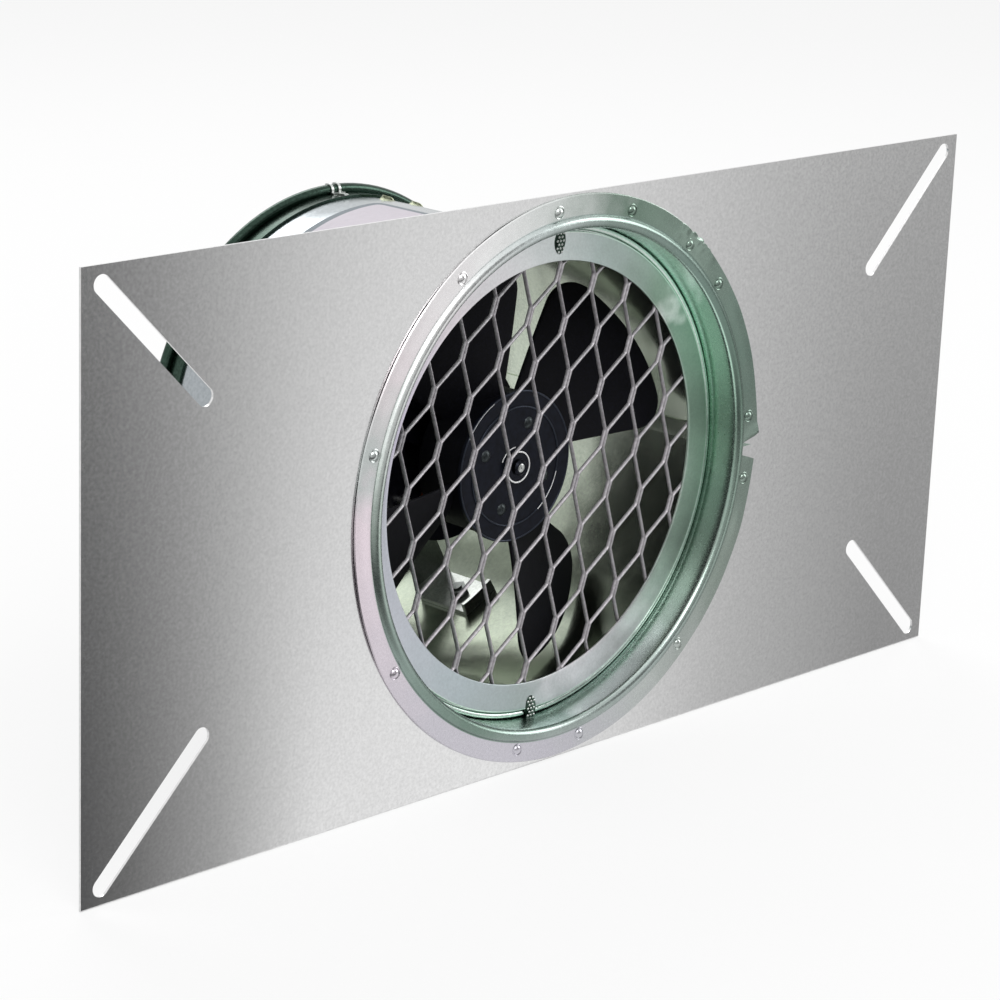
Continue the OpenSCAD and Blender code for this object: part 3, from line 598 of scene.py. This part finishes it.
def flangeBend(r, angle, y):
    c = collar
    if r <= c["beadFoot"]:
        return r, angle, y
    out = (r - c["beadFoot"]) / (c["flangeOut"] - c["beadFoot"])
    fromSlit = angleFrom(angle, c["slit"])
    if angle - c["slit"] >= 360 - 1e-6:
        fromSlit = -0.0001  # the last row lies on the slit's lower side
    side = 1 if fromSlit >= 0 else -1
    gap = (c["slitRoot"] + (c["slitWide"] - c["slitRoot"]) * out) / 2 * eased(out * c["slitRound"])
    turned = angle + side * math.degrees(gap / r) * (1 - eased(abs(fromSlit) / c["slitFade"]))
    near = min(abs(angleFrom(angle, rivet)) for rivet in c["rivetAngles"])
    wave = 0.5 + 0.5 * ripple(angle * c["liftWave"], 3.1, 0)
    lift = c["lift"] * eased((near - c["liftFrom"]) / c["liftOver"]) * eased(out * c["liftSlope"]) * wave
    if fromSlit > 0:  # the upper corner of the slit is bent out
        lift += c["slitBend"] * max(0, 1 - fromSlit / c["slitBendOver"]) * out
        r += c["slitReach"] * max(0, 1 - fromSlit / c["slitFlare"]) * out
    dent = max(0, 1 - abs(angleFrom(angle, c["crinkle"])) / c["crinkleWide"])
    lift += c["crinkleLift"] * dent * out * abs(ripple(angle * c["crinkleWave"], r * c["crinkleAcross"], 1.7))
    r += c["crinkleShift"] * dent * out * out * ripple(angle * c["crinkleEdgeWave"], 9.2, 0)
    return r, turned, y - lift


def makeCollar():
    c = collar
    foot, mid, turns = c["beadFoot"], c["flangeMid"], c["turns"]
    path = [Vector((foot + (c["flangeOut"] - foot) * out, mid)) for out in c["flangeSteps"]]
    for k in range(c["beadSteps"] + 1):
        a = math.pi * k / c["beadSteps"]
        path.append(Vector((c["beadMid"] + c["beadRise"] * math.cos(a),
                            c["beadDepth"] - c["beadRise"] * math.sin(a))))
    path += roundedPath(c["wallToSleeve"])
    left, right = sheetSides(path, c["thick"])
    loop = [Vector((c["flangeOut"] + c["bevel"], mid))] + left + right[::-1]
    count = len(loop)
    points = []
    for i in range(turns + 1):
        points += [ringSpot(*flangeBend(r, c["slit"] + 360 * i / turns, y)) for r, y in loop]
    faces = bandFaces(count, turns + 1)
    for start in (0, turns * count):  # the slit's two cut edges
        faces.append((start, start + 1, start + count - 1))
        for k in range(1, len(c["flangeSteps"])):
            faces.append((start + k, start + k + 1, start + count - k - 1, start + count - k))
    addPiece(solidMesh("spunCollar", points, faces), "spunCollar", collarZinc, "housing",
             ("collar",), sharp=50)


# A torn sliver that stands at the upper side of the slit's root, as (radius, place along the rim, depth)
sliver = {"corners": [(102.0, 2.5, -1.7), (102.0, 0.7, -1.5), (106.2, 1.7, -2.9)], "thick": 0.45}


def makeSliver():
    points = []
    for back in (0, sliver["thick"]):
        for r, side, y in sliver["corners"]:
            points.append(ringSpot(r, collar["slit"] + math.degrees(side / r), y + back))
    faces = [(0, 1, 2), (3, 5, 4), (0, 3, 4, 1), (1, 4, 5, 2), (2, 5, 3, 0)]
    addPiece(solidMesh("slitSliver", points, faces), "slitSliver", collarZinc, "housing")


# A pressed eyelet round each rivet, made by one tree
eyelet = {"circle": 105.0, "front": -1.88, "ring": 2.3, "wire": 0.34}


def eyeletTree():
    tree, given = newTree("rivetEyelets", {"Ring": "Float", "Wire": "Float"})
    circle = addNode(tree, "GeometryNodeCurvePrimitiveCircle", {"Resolution": 24}, {"Radius": given["Ring"]})
    section = addNode(tree, "GeometryNodeCurvePrimitiveCircle", {"Resolution": 8}, {"Radius": given["Wire"]})
    ring = addNode(tree, "GeometryNodeCurveToMesh", links={"Curve": circle, "Profile Curve": section})
    stood = addNode(tree, "GeometryNodeTransform", {"Rotation": upright}, {"Geometry": ring})
    spots = {"Points": given["Geometry"], "Instance": stood}
    spread = addNode(tree, "GeometryNodeInstanceOnPoints", links=spots)
    endTree(tree, spread, collarZinc)
    return tree


def makeEyelets():
    spots = [ringSpot(eyelet["circle"], angle, eyelet["front"]) for angle in collar["rivetAngles"]]
    mesh = grownMesh("rivetEyelets", eyeletTree(), solidMesh("eyeletSpots", spots, []),
                     {"Ring": eyelet["ring"] * mm, "Wire": eyelet["wire"] * mm})
    addPiece(mesh, "rivetEyelets", collarZinc, "housing")


makeCollar()
makeSliver()
makeEyelets()

# Ring in front of the guard, with a hem round the guard's edge and two knurled stakes. Its flat face is
# pressed a little hollow. A stake's pad is given as layers of (share of its outline, depth).
guardRing = {
    "in": 82.6, "out": 93.7, "front": 10.2, "thick": 0.9, "hem": 0.9, "back": 12.4, "turns": 300,
    "innerRound": 0.35, "outerRound": 0.4, "hemRound": 0.2, "foldRound": 0.1, "roundSteps": 4,
    "hollow": 0.25, "unevenness": 0.12, "hollowWave": 0.06, "faceSteps": 8,
    "stakes": [{"angle": 88, "r": 90.4}, {"angle": 268.5, "r": 93.6}], "stakeDepth": -0.1,
    "padWide": 3.0, "padTall": 5.2, "padShape": 1.2, "padLayers": [(0.9, 0), (1, 0.2), (1, 0.5)],
    "dotRows": 3, "dotPitch": 1.65, "dotRowPitch": 0.86, "dotRadius": 0.55, "dotRise": 0.45,
}


def makeGuardRing():
    g = guardRing
    inner, outer, front = g["in"], g["out"], g["front"]
    fold = front + g["thick"]
    hemIn = outer - g["hem"]
    loop = roundedPath([(inner, front, g["innerRound"]), (outer, front, g["outerRound"]),
                        (outer, g["back"], g["hemRound"]), (hemIn, g["back"], g["hemRound"]),
                        (hemIn, fold, g["foldRound"]), (inner, fold, g["innerRound"])], g["roundSteps"])

    def hollowed(r, angle, y):
        across = (r - inner) / (outer - inner)
        deep = g["hollow"] + g["unevenness"] * ripple(angle * g["hollowWave"], 5.5, 0)
        if y >= fold + 0.1:  # the hem keeps its place
            deep = 0
        return r, angle, y + deep * math.sin(math.pi * min(1, max(0, across)))

    shares = [k / g["faceSteps"] for k in range(1, g["faceSteps"])]
    face = [Vector((inner + (outer - inner) * share, front)) for share in shares]
    back = [Vector((hemIn - (hemIn - inner) * share, fold)) for share in shares]
    each = g["roundSteps"] + 1  # points at a corner
    loop = loop[:each] + face + loop[each:5 * each] + back + loop[5 * each:]
    addPiece(turnedMesh("guardRing", loop, g["turns"], hollowed), "guardRing", ringZinc, "housing",
             ("guard_ring",), sharp=50)


def stakeTree():
    tree, given = newTree("stakeDots", {"Radius": "Float", "Rise": "Float"})
    dot = addNode(tree, "GeometryNodeMeshUVSphere", {"Segments": 10, "Rings": 6, "Radius": 1.0})
    axes = {0: given["Radius"], 1: given["Rise"], 2: given["Radius"]}
    size = addNode(tree, "ShaderNodeCombineXYZ", links=axes)
    lens = addNode(tree, "GeometryNodeTransform", links={"Geometry": dot, "Scale": size})
    spots = {"Points": given["Geometry"], "Instance": lens}
    spread = addNode(tree, "GeometryNodeInstanceOnPoints", links=spots)
    endTree(tree, spread, zincPlate)
    return tree


def makeStakes():
    g = guardRing
    half = 12  # points on half of the pad's outline
    count = 2 * half
    rim = []
    for k in range(count):
        a = k * math.pi / half
        tall = math.copysign(abs(math.sin(a)) ** g["padShape"], half - k)
        rim.append(Vector((g["padWide"] * math.cos(a), 0, g["padTall"] * tall)))
    faces = [tuple(range(count)), tuple(range(2 * count, 3 * count))] + bandFaces(count, 3)
    spots, shadePads = [], []
    for stake in g["stakes"]:
        middle = ringSpot(stake["r"], stake["angle"], g["front"] + g["stakeDepth"])
        points = [middle + p * share + Vector((0, deep, 0)) for share, deep in g["padLayers"] for p in rim]
        shadePads.append(solidMesh("stakeShadePad", points, faces))
        for row in range(-g["dotRows"], g["dotRows"] + 1):
            for column in ((-0.5, 0.5) if row % 2 else (-1, 0, 1)):
                spots.append(middle + Vector((column, 0, row * g["dotRowPitch"])) * g["dotPitch"])
    mesh = grownMesh("knurledStakes", stakeTree(), solidMesh("stakeSpots", spots, []),
                     {"Radius": g["dotRadius"] * mm, "Rise": g["dotRise"] * mm})
    addPiece(mesh, "knurledStakes", zincPlate, "housing")
    # The pads are dark zinc under the dots: painted shade in the grooves between them
    addPiece(joinedMesh("stakeShadePads", shadePads), "stakeShadePads", darkRimAndGrooveShade, "housing")


makeGuardRing()
makeStakes()
print("collar and guard ring made")

# Expanded metal: each row of strands is one bent ribbon that touches its neighbours at the bonds.
# Each guard is (node, radius, depth).
expanded = {
    "long": 37.7, "short": 19.8, "bond": 7.0, "lean": 18.3, "width": 1.5, "thick": 0.8, "twist": 26,
    "gap": 0.66, "bend": 1.6, "edgeRound": 0.25, "shortest": 2, "halvings": 30,
    "guards": {"frontStrands": ("front_guard", 92.3, 11.75), "rearStrands": ("rear_guard", 88.4, 133.65)},
}


# Where the line from a point inside to one outside crosses the guard's edge
def edgeCrossing(inside, outside, reach):
    for _ in range(expanded["halvings"]):
        middle = (inside + outside) / 2
        if middle.length < reach:
            inside = middle
        else:
            outside = middle
    return inside


# Corner points of each ribbon, cut off at the guard's edge, in the guard's own plane
def ribbonRows(reach):
    halfLong, halfShort = expanded["long"] / 2, expanded["short"] / 2
    rows = math.ceil(reach / halfLong) + 2
    columns = math.ceil(reach / halfShort) + 2
    lean = math.radians(expanded["lean"])
    ribbons = []
    for k in range(-columns, columns):
        points = []
        for j in range(-rows, rows + 1):
            toRight = (k + j) % 2 == 1
            x = (k + 1) * halfShort - expanded["gap"] if toRight else k * halfShort + expanded["gap"]
            for end in (-0.5, 0.5):
                p = Vector((x, j * halfLong + end * expanded["bond"]))
                points.append(Vector((p.x * math.cos(lean) + p.y * math.sin(lean),
                                      p.y * math.cos(lean) - p.x * math.sin(lean))))
        run = []
        for a, b in zip(points, points[1:]):
            if a.length < reach and b.length < reach:
                run = run or [a]
                run.append(b)
            elif a.length < reach:
                ribbons.append((run or [a]) + [edgeCrossing(a, b, reach)])
                run = []
            elif b.length < reach:
                run = [edgeCrossing(b, a, reach), b]
    return [r for r in ribbons if (r[0] - r[-1]).length > expanded["shortest"]]


def expandedTree():
    sizes = ("Width", "Thickness", "Twist", "Bend", "Depth")
    tree, given = newTree("expandedMetal", {size: "Float" for size in sizes})
    curve = addNode(tree, "GeometryNodeMeshToCurve", links={"Mesh": given["Geometry"]})
    bent = addNode(tree, "GeometryNodeFilletCurve", {"mode": "POLY", "Limit Radius": True, "Count": 5},
                   {"Curve": curve, "Radius": given["Bend"]})
    level = addNode(tree, "GeometryNodeSetCurveNormal", {"mode": "Z_UP"}, {"Curve": bent})
    tilted = addNode(tree, "GeometryNodeSetCurveTilt", links={"Curve": level, "Tilt": given["Twist"]})
    profile = addNode(tree, "GeometryNodeCurvePrimitiveQuadrilateral",
                      links={"Width": given["Thickness"], "Height": given["Width"]})
    rounding = {"mode": "POLY", "Limit Radius": True, "Count": 2, "Radius": expanded["edgeRound"] * mm}
    soft = addNode(tree, "GeometryNodeFilletCurve", rounding, {"Curve": profile})
    ribbon = addNode(tree, "GeometryNodeCurveToMesh", {"Fill Caps": True},
                     {"Curve": tilted, "Profile Curve": soft})
    shift = addNode(tree, "ShaderNodeCombineXYZ", links={1: given["Depth"]})
    stood = addNode(tree, "GeometryNodeTransform", {"Rotation": upright},
                    {"Geometry": ribbon, "Translation": shift})
    endTree(tree, stood, strandZinc)
    return tree


def makeGuards():
    tree = expandedTree()
    for name, (node, reach, depth) in expanded["guards"].items():
        points, edges = [], []
        for ribbon in ribbonRows(reach):
            start = len(points)
            points += [(p.x, p.y, 0) for p in ribbon]
            edges += [(start + i, start + i + 1) for i in range(len(ribbon) - 1)]
        mesh = grownMesh(name, tree, solidMesh(name, points, [], edges), {
            "Width": expanded["width"] * mm, "Thickness": expanded["thick"] * mm,
            "Twist": math.radians(expanded["twist"]), "Bend": expanded["bend"] * mm, "Depth": depth * mm})
        addPiece(mesh, name, strandZinc, "housing", (node,))


makeGuards()
print("guards made")

# Moulded fan: broad twisted blades with round edges, and a hub cup with ribs behind
wheel = {
    "blades": 4, "first": 28, "root": 27.4, "tip": 84.1, "mid": 38.7, "spread": 27.5, "pitchRoot": 34,
    "pitchTip": 23, "camber": 3, "thick": 1.7, "corner": 15, "rows": 40, "steps": 30,
    "hub": 28.5, "hubFront": 27.2, "hubBack": 50.2, "wall": 2.2, "boss": 8.2, "bore": 6.05, "turns": 160,
    "faceRound": 1.2, "rimRound": 0.7, "innerRound": 1.5, "bossRound": 0.5,
    "ribs": 8, "rib": 1.6, "ribTurn": 10, "ribSink": 0.6, "ribFront": 0.5, "ribBack": 3,
}


# A point on one side of a blade: row i from its root to its tip, step j from its front edge to its back
def bladeSpot(i, j, side):
    w = wheel
    span = w["tip"] - w["root"]
    r = w["root"] + span * math.sin(math.pi / 2 * i / w["rows"])
    into = max(0, r - w["tip"] + w["corner"])
    half = r * math.sin(math.radians(w["spread"])) - w["corner"]
    half += math.sqrt(max(0, w["corner"] ** 2 - into ** 2))
    u = -math.cos(math.pi * j / w["steps"])
    pitch = math.radians(w["pitchRoot"] + (w["pitchTip"] - w["pitchRoot"]) * (r - w["root"]) / span)
    across = u * half
    edge = max(abs(u) * half - half, r - w["tip"]) + w["thick"] / 2
    share = math.sqrt(max(0, 1 - max(0, edge / (w["thick"] / 2)) ** 2)) if edge > 0 else 1
    depth = across * math.sin(pitch) - w["camber"] * (1 - u * u) + side * w["thick"] / 2 * share
    turn = math.asin(across * math.cos(pitch) / r)
    return Vector((r * math.cos(turn), depth + w["mid"], r * math.sin(turn)))


def bladeMesh():
    rows, steps = wheel["rows"], wheel["steps"]
    width = steps + 1
    sheet = (rows + 1) * width
    points = [bladeSpot(i, j, side) for side in (-1, 1) for i in range(rows + 1) for j in range(width)]
    faces = []
    for i in range(rows):
        for j in range(steps):
            a, b = i * width + j, (i + 1) * width + j
            faces += [(a, a + 1, b + 1, b), (a + sheet, b + sheet, b + 1 + sheet, a + 1 + sheet)]
    for i in range(rows):
        for j in (0, steps):
            a, b = i * width + j, (i + 1) * width + j
            faces.append((a, b, b + sheet, a + sheet))
    for j in range(steps):
        for i in (0, rows):
            a = i * width + j
            faces.append((a, a + 1, a + 1 + sheet, a + sheet))
    return solidMesh("blade", points, faces)


def wheelTree():
    tree, given = newTree("fanWheel", {"Blades": "Int", "First": "Float"})
    spots = addNode(tree, "GeometryNodePoints", links={"Count": given["Blades"]})
    index = addNode(tree, "GeometryNodeInputIndex")
    step = addNode(tree, "ShaderNodeMath", {"operation": "DIVIDE", 0: -2 * math.pi}, {1: given["Blades"]})
    turn = addNode(tree, "ShaderNodeMath", {"operation": "MULTIPLY"}, {0: index, 1: step})
    turn = addNode(tree, "ShaderNodeMath", {"operation": "SUBTRACT"}, {0: turn, 1: given["First"]})
    spin = addNode(tree, "ShaderNodeCombineXYZ", links={1: turn})
    spread = addNode(tree, "GeometryNodeInstanceOnPoints", links={
        "Points": spots, "Instance": given["Geometry"], "Rotation": spin})
    endTree(tree, spread, bladePlastic)
    return tree


def makeWheel():
    w = wheel
    turns = {"Blades": w["blades"], "First": math.radians(w["first"])}
    blades = grownMesh("blades", wheelTree(), bladeMesh(), turns)
    hub, boss, bore, front, back = (w[k] for k in ("hub", "boss", "bore", "hubFront", "hubBack"))
    inner = hub - w["wall"]
    face = front + w["wall"]
    cup = roundedPath([(bore, front, 0), (hub, front, w["faceRound"]), (hub, back, w["rimRound"]),
                       (inner, back, w["rimRound"]), (inner, face, w["innerRound"]),
                       (boss, face, w["innerRound"]), (boss, back, w["bossRound"]), (bore, back, 0)])
    parts = [blades, turnedMesh("hubCup", cup, w["turns"])]
    sides = [(0, 1, 3, 2), (4, 6, 7, 5), (0, 4, 5, 1), (2, 3, 7, 6), (0, 2, 6, 4), (1, 5, 7, 3)]
    for k in range(w["ribs"]):
        a = math.radians(360 * k / w["ribs"] + w["ribTurn"])
        along, aside = Vector((math.cos(a), 0, math.sin(a))), Vector((-math.sin(a), 0, math.cos(a)))
        corners = [along * r + aside * s * w["rib"] / 2 + Vector((0, y, 0))
                   for y in (face - w["ribFront"], back - w["ribBack"])
                   for r in (boss - w["ribSink"], inner + w["ribSink"]) for s in (-1, 1)]
        parts.append(solidMesh("rib", corners, sides))
    addPiece(joinedMesh("mouldedFan", parts), "mouldedFan", bladePlastic, "rotor",
             ("fan_blades",), sharp=40)


makeWheel()

# Bright trim of the hub. A ring is (radius, wire, depth), and its painted glint is a thinner white wire
# before it, along an arc. The bore's edge is white only along an arc, a painted glint too. The shaft's
# drilled tip is (radius, depth).
hubTrim = {
    "bushingEdge": (6.0, 0.36, 24.3), "boreEdge": (7.6, 0.22, 25.95), "boreArc": (92, 160),
    "step": (23.4, 0.4, 25.95), "stepArc": (-56, -14), "stepGlint": 0.45,
    "rim": (29.5, 0.45, 26.15), "rimArc": (116, 150), "rimGlint": 0.4, "glintLift": 0.28, "turns": 120,
    "tip": [(0, 22.65), (0.7, 22.2), (1.3, 22.23), (1.7, 22.5), (1.7, 22.8), (0, 22.8)], "tipTurns": 40,
}


def wireRing(key, arc=None, glint=None):
    radius, wire, depth = hubTrim[key]
    if glint:
        wire *= glint
        depth -= hubTrim["glintLift"]
    half = 6  # points on half of the wire's section
    turns = [k * math.pi / half for k in range(2 * half)]
    loop = [(radius + wire * math.cos(a), depth + wire * math.sin(a)) for a in turns]
    return turnedMesh(key, loop, hubTrim["turns"], arc=arc)


def makeHubTrim():
    h = hubTrim
    edgesAndGlints = joinedMesh("hubEdgeAndPaintedGlints", [
        wireRing("bushingEdge"), wireRing("boreEdge", h["boreArc"]),
        wireRing("step", h["stepArc"], h["stepGlint"]), wireRing("rim", h["rimArc"], h["rimGlint"])])
    addPiece(edgesAndGlints, "hubEdgeAndPaintedGlints", edgeAndGlintWhite, "rotor")
    pressed = joinedMesh("hubPressedRings", [wireRing("step"), wireRing("rim")])
    addPiece(pressed, "hubPressedRings", burnished, "rotor")
    addPiece(turnedMesh("shaftTip", h["tip"], h["tipTurns"]), "shaftTip", zincPlate, "rotor")


makeHubTrim()
print("fan made")

# Blank label on the drum's outside: a printed border with a plain field on it
label = {"radius": 88.92, "thick": 0.09, "from": 87, "to": 125, "front": 32, "back": 110, "corner": 3.5,
         "border": 3.2, "fieldCorner": 2.5, "steps": 60}


# A thin plate bent round the drum, with rounded corners, narrower by the inset on each side
def bentPlate(name, radius, inset, corner):
    turn = math.degrees(inset / label["radius"])
    first, last = label["from"] + turn, label["to"] - turn
    front, back = label["front"] + inset, label["back"] - inset
    steps = label["steps"]
    width = math.radians(last - first) * radius
    points = []
    for j in range(steps + 1):
        s = width * (1 - math.cos(math.pi * j / steps)) / 2
        into = max(0, corner - min(s, width - s))
        loss = corner - math.sqrt(max(0, corner * corner - into * into))
        for r in (radius, radius + label["thick"]):
            for y in (front + loss, back - loss):
                points.append(ringSpot(r, last - math.degrees(s / radius), y))
    faces = [(0, 1, 3, 2), (4 * steps, 4 * steps + 1, 4 * steps + 3, 4 * steps + 2)]
    for a in range(0, 4 * steps, 4):
        b = a + 4
        faces += [(a + 2, a + 3, b + 3, b + 2), (a, b, b + 1, a + 1), (a, a + 2, b + 2, b),
                  (a + 1, b + 1, b + 3, a + 3)]
    return solidMesh(name, points, faces)


def makeLabel():
    border = bentPlate("labelBorder", label["radius"], 0, label["corner"])
    raised = label["radius"] + label["thick"] / 2
    field = bentPlate("labelField", raised, label["border"], label["fieldCorner"])
    addPiece(border, "labelBorder", labelInk, "housing")
    addPiece(field, "labelField", labelFilm, "housing")


# Lips that the punch raised round the drum's two pierced holes, given as (angle, depth). The profile is
# (distance from the hole's middle, height), and the height is uneven round the hole.
lips = {"holes": [(80, 117), (73, 111)], "wall": 88.9, "turns": 40, "level": 0.9, "lean": 0.6, "ragged": 0.1,
        "profile": [(2.02, -0.85), (2.02, 1.0), (2.3, 1.15), (2.55, 0.75), (3.2, 0.15), (3.7, -0.25)]}


def makeLips():
    count, turns = len(lips["profile"]), lips["turns"]
    meshes = []
    for angle, depth in lips["holes"]:
        out = ringSpot(1, angle, 0)
        side = ringSpot(1, angle + 90, 0)
        middle = ringSpot(lips["wall"], angle, depth)
        points = []
        for k in range(turns):
            a = 2 * math.pi * k / turns
            uneven = lips["level"] + lips["lean"] * math.cos(a) + lips["ragged"] * math.cos(3 * a + angle)
            for far, high in lips["profile"]:
                drop = (far * math.sin(a)) ** 2 / (2 * lips["wall"])
                rise = high * uneven if high > 0 else high
                points.append(middle + side * far * math.sin(a) + Vector((0, far * math.cos(a), 0))
                              + out * (rise - drop))
        meshes.append(solidMesh("lip", points, bandFaces(count, turns, closed=True)))
    addPiece(joinedMesh("piercedLips", meshes), "piercedLips", punchedZinc, "housing")


# Clip over the joint of the rear rim: two lips over the roll, a cross bar and a stem along the sleeve
strap = {"angle": 90, "sheet": 0.5, "sleeve": 90.2, "rollR": 91.0, "rollDepth": 133.0, "rollOut": 2.52,
         "rollArc": (-108, 40, 8), "lipAt": 1.9, "lipWide": 1.2, "barWide": 6.4, "barFront": 128.6,
         "barBack": 130.3, "stemWide": 2.2, "stemFront": 124.3, "overlap": 0.4, "turns": 8}


def makeStrap():
    s = strap
    roll = [Vector((s["rollR"] + s["rollOut"] * math.cos(math.radians(a)),
                    s["rollDepth"] + s["rollOut"] * math.sin(math.radians(a)))) for a in range(*s["rollArc"])]
    bar = [Vector((s["sleeve"], s["barFront"])), Vector((s["sleeve"], s["barBack"])), roll[0]]
    stem = [Vector((s["sleeve"], s["stemFront"])), Vector((s["sleeve"], s["barFront"] + s["overlap"]))]
    meshes = []
    for middle, wide, path in ((-s["lipAt"], s["lipWide"], roll), (s["lipAt"], s["lipWide"], roll),
                               (0, s["barWide"], bar), (0, s["stemWide"], stem)):
        left, right = sheetSides(path, s["sheet"])
        arc = [s["angle"] + math.degrees((middle + wide * end) / s["rollR"]) for end in (-0.5, 0.5)]
        meshes.append(turnedMesh("strapPart", left + right[::-1], s["turns"], arc=arc))
    addPiece(joinedMesh("rimStrap", meshes), "rimStrap", zincPlate, "housing")


makeLabel()
makeLips()
makeStrap()
print("drum trim made")
